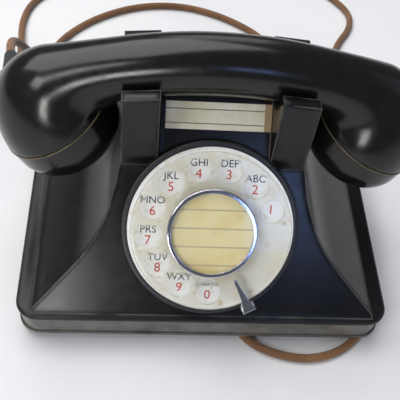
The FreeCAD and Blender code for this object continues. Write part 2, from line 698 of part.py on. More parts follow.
def ringer_coil(side):
    """Wound coil with end cheeks."""
    low = PLATE_TOP + RINGER_PLATE
    high = low + COIL_HEIGHT
    cheek = COIL_HEIGHT / 10.0
    x = side * COIL_X
    core = cylinder(COIL_RADIUS * 0.85, low, high, x, COIL_Y)
    ends = [cylinder(COIL_RADIUS, low, low + cheek, x, COIL_Y),
            cylinder(COIL_RADIUS, high - cheek, high, x, COIL_Y)]
    return core.fuse(ends).removeSplitter()


def gong(side):
    """Shallow bell, open below, on its post."""
    low = PLATE_TOP + RINGER_PLATE + GONG_POST
    top = low + GONG_HEIGHT
    outer = revolved([(0.0, low), (GONG_RADIUS, low), (GONG_RADIUS, low + GONG_HEIGHT * 0.5),
                      (GONG_RADIUS * 0.8, top), (0.0, top)])
    inner = revolved([(0.0, low - 1.0), (GONG_RADIUS - GONG_WALL, low - 1.0),
                      (GONG_RADIUS - GONG_WALL, low + GONG_HEIGHT * 0.5),
                      (GONG_RADIUS * 0.8 - GONG_WALL, top - GONG_WALL), (0.0, top - GONG_WALL)])
    body = outer.cut(inner).fuse(cylinder(GONG_POST_RADIUS, low, top))
    body.translate(Vector(side * GONG_X, GONG_Y, 0))
    return body


def gong_screw(side):
    """Round-head screw on top of a gong."""
    top = PLATE_TOP + RINGER_PLATE + GONG_POST + GONG_HEIGHT
    return cylinder(SCREW_HEAD_RADIUS, top, top + SCREW_HEAD_HEIGHT, side * GONG_X, GONG_Y)


def clapper():
    """Armature on its pivot pin, with the rod and ball that reach between the gongs."""
    middle = PLATE_TOP + RINGER_PLATE + GONG_POST + GONG_HEIGHT * 0.4
    half = ARMATURE / 2.0
    body = block(-half, half, COIL_Y - half, COIL_Y + half, middle - half, middle + half)
    rod = Part.makeCylinder(CLAPPER_ROD, GONG_Y - COIL_Y, Vector(0, COIL_Y, middle), Vector(0, 1, 0))
    body = body.fuse([rod, Part.makeSphere(CLAPPER_RADIUS, Vector(0, GONG_Y, middle))])
    return body.cut(cylinder(PIVOT_RADIUS + SHAFT_FIT, 0.0, RIDGE_Z, 0.0, COIL_Y))


def condenser():
    """Sealed box at the left of the dial."""
    half = CONDENSER_WIDTH / 2.0
    return block(-SIDE_X - half, -SIDE_X + half, SIDE_FRONT, SIDE_REAR, PLATE_TOP,
                 PLATE_TOP + CONDENSER_HEIGHT)


def induction_coil():
    """Wound coil lying at the right of the dial."""
    centre = Vector(SIDE_X, SIDE_FRONT, PLATE_TOP + INDUCTION_RADIUS)
    return Part.makeCylinder(INDUCTION_RADIUS, SIDE_REAR - SIDE_FRONT, centre, Vector(0, 1, 0))


def terminal_block():
    """Insulating block where the cords' wires end."""
    half_w = TERMINAL_WIDTH / 2.0
    half_d = TERMINAL_DEPTH / 2.0
    return block(TERMINAL_X - half_w, TERMINAL_X + half_w, TERMINAL_Y - half_d, TERMINAL_Y + half_d,
                 PLATE_TOP, PLATE_TOP + TERMINAL_HEIGHT)


def terminal_screw(index):
    """One screw of the row on the terminal block."""
    step = TERMINAL_DEPTH / TERMINAL_SCREWS
    y = TERMINAL_Y - TERMINAL_DEPTH / 2.0 + (index + 0.5) * step
    top = PLATE_TOP + TERMINAL_HEIGHT
    return cylinder(SCREW_HEAD_RADIUS, top, top + SCREW_HEAD_HEIGHT, TERMINAL_X, y)


def grommet(x):
    """Rubber bush of a cord in the rear band."""
    inside = HALF_D + GROMMET_PROUD - GROMMET_LENGTH
    body = Part.makeCylinder(GROMMET_RADIUS, GROMMET_LENGTH, Vector(x, inside, OUTLET_Z), Vector(0, 1, 0))
    return body.cut(Part.makeCylinder(CORD_RADIUS, GROMMET_LENGTH, Vector(x, inside, OUTLET_Z),
                                      Vector(0, 1, 0)))


def boot_line(distance):
    """Point on the boot's axis, measured from its foot."""
    return BOOT_BASE + Vector(BOOT_DIRECTION).normalize() * distance


def handset_cord_boot():
    """Tapered rubber boot on the back of the sender's cup."""
    return Part.makeCone(BOOT_RADIUS, BOOT_TIP_RADIUS, BOOT_LENGTH, BOOT_BASE, BOOT_DIRECTION)


def cord_tube(name, points):
    """Tube along straight runs joined by the largest tangent arcs; prints its radii, length and volume."""
    edges = []
    radii = []
    last = points[0]
    for before, corner, after in zip(points, points[1:], points[2:]):
        back = (before - corner).normalize()
        ahead = (after - corner).normalize()
        half_turn = (math.pi - back.getAngle(ahead)) / 2.0
        setback = 0.45 * min((before - corner).Length, (after - corner).Length)
        radius = setback / math.tan(half_turn)
        entry = corner + back * setback
        leave = corner + ahead * setback
        bisector = (back + ahead).normalize()
        middle = corner + bisector * (radius / math.cos(half_turn) - radius)
        edges.append(Part.makeLine(last, entry))
        edges.append(Part.Arc(entry, middle, leave).toShape())
        radii.append(radius)
        last = leave
    edges.append(Part.makeLine(last, points[-1]))
    tube = pipe(edges, CORD_RADIUS, points[1] - points[0])
    length = sum(edge.Length for edge in edges)
    expected = math.pi * CORD_RADIUS ** 2 * length
    print(name, "radii", [round(r, 1) for r in radii])
    print(name, "length", round(length, 1), "volume ratio", round(tube.Volume / expected, 4))
    return tube


def handset_cord_route():
    """From the boot down to the table, round behind the base and into the right rear bush."""
    laid = CORD_RADIUS
    return [boot_line(BOOT_LENGTH), boot_line(2.0 * BOOT_LENGTH), Vector(-105.6, 55.5, 80),
            Vector(-103, 71.5, 60),
            Vector(-99.5, 86, 36.5), Vector(-98.2, 104, 16), Vector(-98.5, 125, 4.8), Vector(-95, 150, laid),
            Vector(-68.5, 178.5, laid), Vector(-32, 195.5, laid), Vector(7, 194, laid),
            Vector(47, 170.5, laid),
            Vector(66, 139, laid), Vector(64.5, 112, 3.4), Vector(58.5, 97, 8.6),
            Vector(HANDSET_OUTLET_X, HALF_D - GROMMET_LENGTH / 2.0, OUTLET_Z)]


def line_cord_route():
    """From the left rear bush, under the base, round the front right and back under it to the coil."""
    laid = CORD_RADIUS
    under = [(-10, 123), (6, 129.5), (20.5, 121), (25, 104), (23.5, 80), (25.5, 44), (22, -4), (17, -48),
             (16.5, -74),
             (26, -86.5), (41, -93), (58, -95.2), (76, -89.5), (90, -76), (91.5, -54), (88.5, -22), (88, 22),
             (90.5, 62),
             (95, 100), (99.5, 134), (108, 160), (120.5, 178), (124, 196), (114, 214), (97, 231), (76, 243)]
    points = [Vector(LINE_OUTLET_X, HALF_D - GROMMET_LENGTH / 2.0, OUTLET_Z), Vector(-20.3, 94, 10.6),
              Vector(-19, 109, 5.6)]
    points += [Vector(x, y, laid) for x, y in under]
    return points + [Vector(53, 246.5, laid + 0.2), Vector(29, 243.6, laid + 0.7),
                     coil_point(laid + TIE_THICKNESS)]


def coil_point(z):
    """Point of the coil nearest the base, where the cord joins and leaves it."""
    return COIL_CENTRE + Vector(0, -COIL_TURN_RADIUS, z)


def line_tail_route():
    """From the top of the coil down to the table and back to the plug at the left."""
    laid = CORD_RADIUS
    start = coil_point(laid + TIE_THICKNESS + COIL_TURNS * COIL_PITCH)
    return [start, Vector(-9, 243.2, 17.2), Vector(-27, 241.5, 12.4), Vector(-45, 237.5, 6),
            Vector(-64, 230.5, 2.6),
            Vector(-84, 221, laid), Vector(-104, 208, laid), Vector(-119, 190, laid),
            Vector(-123.5, 168, laid),
            Vector(-121.5, 147, laid + 0.2), Vector(-120, 132, 4.4), Vector(-119, 119.5, 8.8), PLUG_END]


def line_cord_coil():
    """Outer shape of the coiled length."""
    low = TIE_THICKNESS
    high = low + 2.0 * CORD_RADIUS + COIL_TURNS * COIL_PITCH
    body = ring(COIL_TURN_RADIUS + CORD_RADIUS, COIL_TURN_RADIUS - CORD_RADIUS, low, high)
    body.translate(COIL_CENTRE)
    return body


def coil_tie():
    """Cloth band round the coil's far side."""
    high = 2.0 * TIE_THICKNESS + 2.0 * CORD_RADIUS + COIL_TURNS * COIL_PITCH
    near = COIL_TURN_RADIUS - CORD_RADIUS - TIE_THICKNESS
    far = COIL_TURN_RADIUS + CORD_RADIUS + TIE_THICKNESS
    half = TIE_WIDTH / 2.0
    band = block(-half, half, near, far, 0.0, high)
    bundle = line_cord_coil()
    bundle.translate(-COIL_CENTRE)
    band = band.cut(bundle)
    band.translate(COIL_CENTRE)
    return band


def line_plug():
    """Round plug lying on the table, with its neck and two prongs."""
    ahead = Vector(0, -1, 0)
    face = PLUG_END + ahead * (PLUG_NECK + PLUG_LENGTH)
    body = Part.makeCone(PLUG_NECK_RADIUS * 0.8, PLUG_NECK_RADIUS, PLUG_NECK, PLUG_END, ahead)
    shell = Part.makeCylinder(PLUG_RADIUS, PLUG_LENGTH, PLUG_END + ahead * PLUG_NECK, ahead)
    body = body.fuse(shell.makeFillet(PLUG_RADIUS * 0.2, [e for e in shell.Edges if e.Closed]))
    for side in (-1, 1):
        root = face + Vector(side * PRONG_OFFSET, 0, 0)
        body = body.fuse(Part.makeCylinder(PRONG_RADIUS, PRONG_LENGTH, root, ahead))
    return body


PLUG_END = Vector(-118.5, 108.0, PLUG_RADIUS)


def all_parts():
    """Every named piece with its solid."""
    parts = {"housing": housing(), "base_plate": base_plate(), "dial_case": dial_case(),
             "dial_bridge": dial_bridge(),
             "number_plate": number_plate(), "finger_stop": finger_stop(),
             "impulse_springs": impulse_springs(),
             "label_card": label_card(), "finger_wheel": finger_wheel(), "card_bezel": card_bezel(),
             "number_card": number_card(), "card_window": card_window(), "dial_shaft": dial_shaft(),
             "main_gear": main_gear(), "pulse_shaft": pulse_shaft(), "handset_handle": handset_handle(),
             "transmitter_cap": cup_cap(SENDER_CAP, SENDER_PLACE),
             "receiver_cap": cup_cap(RECEIVER_CAP, RECEIVER_PLACE),
             "transmitter_capsule": capsule(SENDER_PLACE), "receiver_capsule": capsule(RECEIVER_PLACE),
             "handset_cord_boot": handset_cord_boot(), "hook_yoke": hook_yoke(),
             "hook_bracket": hook_bracket(),
             "hook_contacts": hook_contacts(), "ringer_bracket": ringer_bracket(), "clapper": clapper(),
             "condenser": condenser(), "induction_coil": induction_coil(),
             "terminal_block": terminal_block(),
             "line_cord_grommet": grommet(LINE_OUTLET_X), "handset_cord_grommet": grommet(HANDSET_OUTLET_X),
             "handset_cord": cord_tube("handset_cord", handset_cord_route()),
             "line_cord_run": cord_tube("line_cord_run", line_cord_route()),
             "line_cord_coil": line_cord_coil(),
             "line_cord_tail": cord_tube("line_cord_tail", line_tail_route()),
             "coil_tie": coil_tie(), "line_plug": line_plug()}
    for word, side in (("left", -1), ("right", 1)):
        parts["plunger_" + word] = plunger(side * PLUNGER_X)
        parts["ringer_coil_" + word] = ringer_coil(side)
        parts["gong_" + word] = gong(side)
        parts["gong_screw_" + word] = gong_screw(side)
        for end, way in (("front", -1), ("rear", 1)):
            parts["foot_" + end + "_" + word] = foot(side * FOOT_X, way * FOOT_Y)
            parts["base_screw_" + end + "_" + word] = base_screw(side * BOSS_X, way * BOSS_Y)
    for index in range(TERMINAL_SCREWS):
        parts["terminal_screw_" + str(index + 1)] = terminal_screw(index)
    return parts


def main():
    """Write each piece to its own file."""
    os.makedirs("parts", exist_ok=True)
    for name, shape in all_parts().items():
        solid = shape.Solids[0] if len(shape.Solids) == 1 else shape
        print(name, len(shape.Solids), "solid", round(shape.Volume), "mm3",
              "valid" if shape.isValid() else "INVALID")
        solid.exportStep("parts/" + name + ".step")


main()
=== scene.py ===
"""Looks of a black rotary desk telephone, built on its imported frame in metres."""
import logging
import math
from dataclasses import dataclass, field
from enum import Enum

import bmesh
import bpy
import numpy as np
from mathutils import Matrix, Vector


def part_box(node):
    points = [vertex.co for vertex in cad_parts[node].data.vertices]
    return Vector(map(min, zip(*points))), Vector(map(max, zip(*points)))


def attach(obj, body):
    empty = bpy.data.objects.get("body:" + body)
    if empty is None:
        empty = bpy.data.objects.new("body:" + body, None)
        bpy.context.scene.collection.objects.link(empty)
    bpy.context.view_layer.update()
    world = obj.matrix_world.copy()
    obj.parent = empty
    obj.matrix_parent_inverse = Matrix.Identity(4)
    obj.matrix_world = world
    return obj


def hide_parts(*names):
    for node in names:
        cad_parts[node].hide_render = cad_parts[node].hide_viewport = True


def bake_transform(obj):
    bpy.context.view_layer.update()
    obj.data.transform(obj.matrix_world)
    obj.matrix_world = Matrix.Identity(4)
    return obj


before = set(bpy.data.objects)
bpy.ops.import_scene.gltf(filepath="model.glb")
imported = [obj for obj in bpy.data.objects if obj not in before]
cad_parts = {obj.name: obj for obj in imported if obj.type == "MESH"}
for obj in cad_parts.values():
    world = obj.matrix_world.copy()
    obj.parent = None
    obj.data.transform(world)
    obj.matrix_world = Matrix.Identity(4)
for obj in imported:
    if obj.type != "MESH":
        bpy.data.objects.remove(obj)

LOG = logging.getLogger("telephone")
MM = 0.001
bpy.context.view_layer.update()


class Surface(Enum):
    """How light meets a finish."""

    OPAQUE = "opaque"
    METAL = "metal"
    CLEAR = "clear"


class Coat(Enum):
    """Whether a clear gloss lies over a finish."""

    NONE = 0.0
    THIN = 0.35


@dataclass(frozen=True)
class Finish:
    """A procedural finish on Object coordinates.

    The colour drifts between base and shade with a soft noise, the roughness with a finer one, and the
    bump is a fine grain. An edge radius rounds the shading of hard edges, and wear paints those edges. Below
    a height over the table a paler colour is painted in patches: dust, and a painted reflection of the pale
    table.
    """

    name: str
    base: tuple[float, float, float]
    shade: tuple[float, float, float]
    roughness: tuple[float, float]
    blotch: float = 60.0
    blotch_reach: tuple[float, float] = (0.35, 0.68)
    grain: float = 900.0
    bump: float = 0.02
    surface: Surface = Surface.OPAQUE
    coat: Coat = Coat.NONE
    edge: float = 0.0
    wear: tuple[float, float, float] | None = None
    wear_amount: float = 0.5
    dust_and_reflection: tuple[float, float, float] | None = None
    dust_and_reflection_top: float = 0.0185
    dust_and_reflection_fade: float = 0.001
    dust_and_reflection_patch: tuple[float, float] = (0.35, 1.0)
    blotch_detail: float = 4.0
    grain_detail: float = 3.0
    clear_transmission: float = 0.92
    clear_alpha: float = 0.42
    coat_roughness: float = 0.06
    ior: float = 1.5

    def material(self) -> bpy.types.Material:
        """Build the node material.

        Returns:
            The finished material.
        """
        nodes = MaterialNodes(self.name)
        where = nodes.object_coords()
        blotch = nodes.noise(where, self.blotch, self.blotch_detail)
        fine = nodes.noise(where, self.grain, self.grain_detail)
        colour = nodes.mix(nodes.ramp(blotch, *self.blotch_reach), self.base, self.shade)
        rough = nodes.spread(fine, self.roughness)
        if self.edge > 0.0 and self.wear is not None:
            worn = nodes.edge_mask(self.edge, blotch, self.wear_amount)
            colour = nodes.mix(worn, colour, self.wear)
        # Paler colour in patches below a height: dust, and a painted reflection of the pale table on the low
        # band.
        if self.dust_and_reflection is not None:
            height = nodes.axis(where, 2)
            low = nodes.ramp(height, self.dust_and_reflection_top + self.dust_and_reflection_fade, self.dust_and_reflection_top - self.dust_and_reflection_fade)
            patch = nodes.spread(blotch, self.dust_and_reflection_patch)
            colour = nodes.mix(nodes.math("MULTIPLY", low, patch), colour, self.dust_and_reflection)
        nodes.link(colour, nodes.shader.inputs["Base Color"])
        nodes.link(rough, nodes.shader.inputs["Roughness"])
        nodes.bump(fine, self.bump, self.edge)
        clear = self.surface is Surface.CLEAR
        shader = nodes.shader.inputs
        shader["IOR"].default_value = self.ior
        shader["Metallic"].default_value = 1.0 if self.surface is Surface.METAL else 0.0
        shader["Transmission Weight"].default_value = self.clear_transmission if clear else 0.0
        shader["Alpha"].default_value = self.clear_alpha if clear else 1.0
        shader["Coat Weight"].default_value = self.coat.value
        shader["Coat Roughness"].default_value = self.coat_roughness
        return nodes.material


class MaterialNodes:
    """Small helper that adds and joins shader nodes of one material.

    The four mix indices are the colour sockets of Blender's mix node.
    """

    NOISE_SPAN = (0.3, 0.7)
    MIX_SHARE = 0
    MIX_FIRST = 6
    MIX_SECOND = 7
    MIX_RESULT = 2
    BEVEL_SAMPLES = 6
    EDGE_SHARE = 0.3
    EDGE_REACH = (0.008, 0.07)
    PATCH_REACH = (0.30, 0.58)
    BUMP_DEPTH = 0.0004

    def __init__(self, name: str) -> None:
        """Start an empty material with a principled shader.

        Args:
            name: the material's name.
        """
        self.material = bpy.data.materials.new(name)
        self.material.use_nodes = True
        self.tree = self.material.node_tree
        self.tree.nodes.clear()
        output = self.tree.nodes.new("ShaderNodeOutputMaterial")
        self.shader = self.tree.nodes.new("ShaderNodeBsdfPrincipled")
        self.link(self.shader.outputs[0], output.inputs["Surface"])

    def link(self, source, target) -> None:
        """Join two sockets."""
        self.tree.links.new(source, target)

    def feed(self, value, target) -> None:
        """Set a socket from a socket, a number or a colour."""
        if hasattr(value, "is_output"):
            self.link(value, target)
        elif isinstance(value, (int, float)):
            target.default_value = value
        else:
            target.default_value = (*value, 1.0) if len(value) == 3 and target.type == "RGBA" else value

    def object_coords(self):
        """Object coordinates, which are the frame's own metres."""
        return self.tree.nodes.new("ShaderNodeTexCoord").outputs["Object"]

    def uv(self):
        """The piece's own UV map."""
        return self.tree.nodes.new("ShaderNodeTexCoord").outputs["UV"]

    def noise(self, where, scale: float, detail: float):
        """Noise value at a scale per metre."""
        node = self.tree.nodes.new("ShaderNodeTexNoise")
        node.inputs["Scale"].default_value = scale
        node.inputs["Detail"].default_value = detail
        self.link(where, node.inputs["Vector"])
        return node.outputs["Fac"]

    def math(self, kind: str, first, second=0.0):
        """One arithmetic node."""
        node = self.tree.nodes.new("ShaderNodeMath")
        node.operation = kind
        self.feed(first, node.inputs[0])
        self.feed(second, node.inputs[1])
        return node.outputs[0]

    def axis(self, where, index: int):
        """One coordinate of a vector."""
        node = self.tree.nodes.new("ShaderNodeSeparateXYZ")
        self.link(where, node.inputs[0])
        return node.outputs[index]

    def ramp(self, value, low: float, high: float):
        """Smooth step from 0 at low to 1 at high."""
        node = self.tree.nodes.new("ShaderNodeMapRange")
        node.interpolation_type = "SMOOTHSTEP"
        self.link(value, node.inputs["Value"])
        node.inputs["From Min"].default_value = low
        node.inputs["From Max"].default_value = high
        return node.outputs["Result"]

    def spread(self, value, span: tuple[float, float]):
        """Map noise onto a span of values."""
        node = self.tree.nodes.new("ShaderNodeMapRange")
        self.link(value, node.inputs["Value"])
        node.inputs["From Min"].default_value = self.NOISE_SPAN[0]
        node.inputs["From Max"].default_value = self.NOISE_SPAN[1]
        node.inputs["To Min"].default_value = span[0]
        node.inputs["To Max"].default_value = span[1]
        return node.outputs["Result"]

    def mix(self, share, first, second):
        """Blend two colours by a share."""
        node = self.tree.nodes.new("ShaderNodeMix")
        node.data_type = "RGBA"
        self.feed(share, node.inputs[self.MIX_SHARE])
        self.feed(first, node.inputs[self.MIX_FIRST])
        self.feed(second, node.inputs[self.MIX_SECOND])
        return node.outputs[self.MIX_RESULT]

    def rounded_normal(self, radius: float):
        """Normal that is rounded over hard edges within a radius."""
        node = self.tree.nodes.new("ShaderNodeBevel")
        node.samples = self.BEVEL_SAMPLES
        node.inputs["Radius"].default_value = radius
        return node.outputs[0]

    def edge_mask(self, radius: float, patch, amount: float):
        """Mask of hard edges: where the rounded normal leaves the face's own normal, broken up by patches."""
        geometry = self.tree.nodes.new("ShaderNodeNewGeometry")
        dot = self.tree.nodes.new("ShaderNodeVectorMath")
        dot.operation = "DOT_PRODUCT"
        self.link(self.rounded_normal(radius * self.EDGE_SHARE), dot.inputs[0])
        self.link(geometry.outputs["Normal"], dot.inputs[1])
        edge = self.ramp(self.math("SUBTRACT", 1.0, dot.outputs["Value"]), *self.EDGE_REACH)
        broken = self.math("MULTIPLY", edge, self.ramp(patch, *self.PATCH_REACH))
        return self.math("MULTIPLY", broken, amount)

    def bump(self, height, strength: float, edge: float) -> None:
        """Fine relief on the shader's normal, over a rounded normal where the finish has an edge radius."""
        node = self.tree.nodes.new("ShaderNodeBump")
        node.inputs["Strength"].default_value = strength
        node.inputs["Distance"].default_value = self.BUMP_DEPTH
        self.link(height, node.inputs["Height"])
        if edge > 0.0:
            self.link(self.rounded_normal(edge), node.inputs["Normal"])
        self.link(node.outputs[0], self.shader.inputs["Normal"])


@dataclass(frozen=True)
class ClothBraid:
    """Braided cloth of a cord on its own UV map: u runs once round, v counts diameters along.

    Two sets of slanted ridges cross, so the height is the larger of two sine waves in u + v and u - v. The
    low parts between the threads take the darker colour: painted shade in the hollows of the weave.
    """

    name: str
    thread: tuple[float, float, float]
    shaded_gap: tuple[float, float, float]
    strands: float = 8.0
    slant: float = 14.0
    ridge_reach: tuple[float, float] = (-0.2, 0.95)
    drift: float = 40.0
    drift_detail: float = 4.0
    drift_reach: tuple[float, float] = (0.4, 0.7)
    worn_gain: float = 1.5
    roughness: float = 0.82
    sheen: float = 0.25
    relief: float = 0.55

    def material(self) -> bpy.types.Material:
        """Build the braid material.

        Returns:
            The finished material.
        """
        nodes = MaterialNodes(self.name)
        where = nodes.uv()
        around = nodes.math("MULTIPLY", nodes.axis(where, 0), 2.0 * math.pi * self.strands)
        along = nodes.math("MULTIPLY", nodes.axis(where, 1), self.slant)
        left = nodes.math("SINE", nodes.math("ADD", around, along))
        right = nodes.math("SINE", nodes.math("SUBTRACT", around, along))
        ridge = nodes.math("MAXIMUM", left, right)
        height = nodes.ramp(ridge, *self.ridge_reach)
        drift = nodes.noise(nodes.object_coords(), self.drift, self.drift_detail)
        faded = tuple(part * self.worn_gain for part in self.thread)
        worn = nodes.mix(nodes.ramp(drift, *self.drift_reach), self.thread, faded)
        # Low parts between the threads take the darker colour: painted shade in the weave's hollows.
        nodes.link(nodes.mix(height, self.shaded_gap, worn), nodes.shader.inputs["Base Color"])
        nodes.shader.inputs["Roughness"].default_value = self.roughness
        nodes.shader.inputs["Sheen Weight"].default_value = self.sheen
        nodes.bump(height, self.relief, 0.0)
        return nodes.material


@dataclass(frozen=True)
class RuledPaper:
    """Aged paper with faint ruled lines and, on one side, a strip of another paper.

    A line shows where the distance along the ruling axis, divided by the pitch, is near a whole number and a
    half.
    """

    name: str
    paper: tuple[float, float, float]
    aged: tuple[float, float, float]
    line: tuple[float, float, float]
    axis: int
    pitch: float
    offset: float
    strip_from: float = 1.0
    strip: tuple[float, float, float] = (0.4, 0.3, 0.2)
    strip_fade: float = 0.0002
    stain: float = 90.0
    stain_detail: float = 5.0
    stain_reach: tuple[float, float] = (0.38, 0.7)
    fibre: float = 1500.0
    fibre_detail: float = 3.0
    line_reach: tuple[float, float] = (0.02, 0.05)
    roughness: tuple[float, float] = (0.45, 0.65)
    relief: float = 0.05

    def material(self) -> bpy.types.Material:
        """Build the paper material.

        Returns:
            The finished material.
        """
        nodes = MaterialNodes(self.name)
        where = nodes.object_coords()
        stain = nodes.noise(where, self.stain, self.stain_detail)
        fibre = nodes.noise(where, self.fibre, self.fibre_detail)
        colour = nodes.mix(nodes.ramp(stain, *self.stain_reach), self.paper, self.aged)
        risen = nodes.math("SUBTRACT", nodes.axis(where, self.axis), self.offset)
        turns = nodes.math("DIVIDE", risen, self.pitch)
        near = nodes.math("ABSOLUTE", nodes.math("SUBTRACT", nodes.math("FRACT", turns), 0.5))
        ruled = nodes.math("SUBTRACT", 1.0, nodes.ramp(near, *self.line_reach))
        colour = nodes.mix(ruled, colour, self.line)
        beside = nodes.ramp(nodes.axis(where, 0), self.strip_from - self.strip_fade,
                            self.strip_from + self.strip_fade)
        colour = nodes.mix(beside, colour, self.strip)
        nodes.link(colour, nodes.shader.inputs["Base Color"])
        nodes.link(nodes.spread(fibre, self.roughness), nodes.shader.inputs["Roughness"])
        nodes.bump(fibre, self.relief, 0.0)
        return nodes.material


class Finishes:
    """Every finish on the telephone, built once."""

    LABEL_LINES = 2.0
    LABEL_STRIP = 3.5 * MM
    CARD_LINES = 4.5
    NO_STRIP = 1.0

    def __init__(self) -> None:
        """Build all materials."""
        # The housing's low band is painted paler in patches: dust, and a painted reflection of the pale
        # table.
        self.bakelite = Finish("black_bakelite", (0.0045, 0.005, 0.0058), (0.0075, 0.0075, 0.008),
                               (0.17, 0.23), grain=160.0, edge=0.0042, wear=(0.24, 0.23, 0.21),
                               wear_amount=0.6, bump=0.002, dust_and_reflection=(0.20, 0.19, 0.17), ior=1.38).material()
        self.handset = Finish("handset_bakelite", (0.0055, 0.0053, 0.005), (0.0095, 0.0085, 0.0072),
                              (0.16, 0.25), grain=220.0, bump=0.002, ior=1.46).material()
        self.seam = Finish("worn_seam", (0.17, 0.135, 0.07), (0.07, 0.056, 0.032), (0.4, 0.6),
                           blotch=120.0).material()
        self.case = Finish("dial_case_paint", (0.010, 0.010, 0.011), (0.02, 0.02, 0.02), (0.25, 0.4),
                           edge=0.0006, wear=(0.3, 0.29, 0.27)).material()
        self.acrylic = Finish("aged_acrylic", (0.96, 0.94, 0.84), (0.84, 0.77, 0.55), (0.02, 0.05),
                              blotch=130.0, edge=0.0005, surface=Surface.CLEAR, ior=1.49,
                              bump=0.006).material()
        self.window = Finish("clear_window", (1.0, 0.995, 0.97), (0.99, 0.97, 0.92), (0.02, 0.05),
                             surface=Surface.CLEAR, ior=1.49, bump=0.006).material()
        self.enamel = Finish("white_enamel", (0.92, 0.92, 0.89), (0.66, 0.55, 0.30), (0.18, 0.3),
                             blotch=260.0, blotch_reach=(0.56, 0.80), coat=Coat.THIN).material()
        self.chrome = Finish("polished_chrome", (0.66, 0.66, 0.72), (0.55, 0.55, 0.60), (0.04, 0.10),
                             edge=0.0006, surface=Surface.METAL).material()
        self.steel = Finish("plain_steel", (0.5, 0.5, 0.51), (0.4, 0.39, 0.37), (0.3, 0.45),
                            surface=Surface.METAL).material()
        self.brass = Finish("old_brass", (0.62, 0.47, 0.2), (0.42, 0.3, 0.13), (0.28, 0.45),
                            surface=Surface.METAL).material()
        self.copper = Finish("enamelled_wire", (0.36, 0.14, 0.06), (0.22, 0.08, 0.03), (0.3, 0.45),
                             grain=2400.0, bump=0.3, surface=Surface.METAL).material()
        self.fibre = Finish("fibre_board", (0.1, 0.055, 0.03), (0.06, 0.034, 0.02), (0.55, 0.75),
                            bump=0.15).material()
        self.rubber = Finish("black_rubber", (0.016, 0.016, 0.016), (0.03, 0.029, 0.028), (0.5, 0.7),
                             bump=0.12, edge=0.0004).material()
        self.digit_ink = Finish("red_ink", (0.58, 0.055, 0.02), (0.46, 0.04, 0.015), (0.35, 0.45)).material()
        self.letter_ink = Finish("black_ink", (0.008, 0.009, 0.014), (0.016, 0.017, 0.022),
                                 (0.35, 0.45)).material()
        # The braid's second colour is painted shade between the threads.
        self.cloth = ClothBraid("brown_cloth_braid", (0.24, 0.112, 0.042), (0.065, 0.028, 0.011)).material()
        self.tie = Finish("tie_tape", (0.2, 0.16, 0.11), (0.14, 0.11, 0.07), (0.8, 0.9),
                          grain=1800.0, bump=0.4).material()
        low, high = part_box("label_card")
        self.label = RuledPaper("label_paper", (0.82, 0.79, 0.66), (0.72, 0.66, 0.48), (0.13, 0.12, 0.11), 2,
                                (high[2] - low[2]) / self.LABEL_LINES, low[2], high[0] - self.LABEL_STRIP,
                                (0.36, 0.25, 0.14)).material()
        low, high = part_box("number_card")
        self.card = RuledPaper("dial_card_paper", (0.92, 0.82, 0.46), (0.86, 0.70, 0.30), (0.50, 0.43, 0.26),
                               2, (high[2] - low[2]) / self.CARD_LINES, low[2], self.NO_STRIP).material()


def paint(node: str, material: bpy.types.Material) -> None:
    """Give a CAD node one material.

    Args:
        node: the node's name.
        material: its finish.
    """
    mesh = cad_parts[node].data
    mesh.materials.clear()
    mesh.materials.append(material)
    LOG.info("painted %s with %s", node, material.name)


def add_mesh(name: str, points: np.ndarray, faces: list, material: bpy.types.Material,
             body: str | None) -> bpy.types.Object:
    """Make a smooth-shaded piece, which rides on a body when one is given.

    Args:
        name: the piece's name.
        points: vertex places in metres, one row each.
        faces: vertex indices of each face.
        material: its finish.
        body: the body it moves with, or None.

    Returns:
        The new object.
    """
    mesh = bpy.data.meshes.new(name)
    mesh.from_pydata(points, [], faces)
    mesh.polygons.foreach_set("use_smooth", np.ones(len(mesh.polygons), dtype=bool))
    mesh.materials.append(material)
    piece = bpy.data.objects.new(name, mesh)
    bpy.context.scene.collection.objects.link(piece)
    if body is not None:
        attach(piece, body)
    LOG.info("built %s with %d faces", name, len(mesh.polygons))
    return piece


def grid_faces(rows: int, columns: int, closed: bool) -> np.ndarray:
    """Quads of a grid whose columns wrap round, and whose rows wrap too when closed.

    Args:
        rows: number of rows of points.
        columns: points in each row.
        closed: whether the last row joins the first.

    Returns:
        Four vertex indices per face.
    """
    last = rows if closed else rows - 1
    row, column = np.meshgrid(np.arange(last), np.arange(columns), indexing="ij")
    below = (row + 1) % rows
    beside = (column + 1) % columns
    corners = [row * columns + column, row * columns + beside,
               below * columns + beside, below * columns + column]
    return np.stack([c.ravel() for c in corners], axis=1)


@dataclass
class DialFrame:
    """The dial's own frame: x to the right, y up the slope, z out along its axis."""

    angle: float = math.radians(49.63)
    centre: np.ndarray = field(default_factory=lambda: np.array([0.0, -51.2, 58.1]) * MM)

    def place(self, points: np.ndarray) -> np.ndarray:
        """Turn points from the dial's frame about X by the slope's angle and move them to the dial's centre.

        Args:
            points: rows of x, y, z in metres in the dial's frame.

        Returns:
            The same rows in the telephone's frame.
        """
        up = np.array([0.0, math.cos(self.angle), math.sin(self.angle)])
        out = np.array([0.0, -math.sin(self.angle), math.cos(self.angle)])
        right = np.array([1.0, 0.0, 0.0])
        return self.centre + points[:, :1] * right + points[:, 1:2] * up + points[:, 2:3] * out


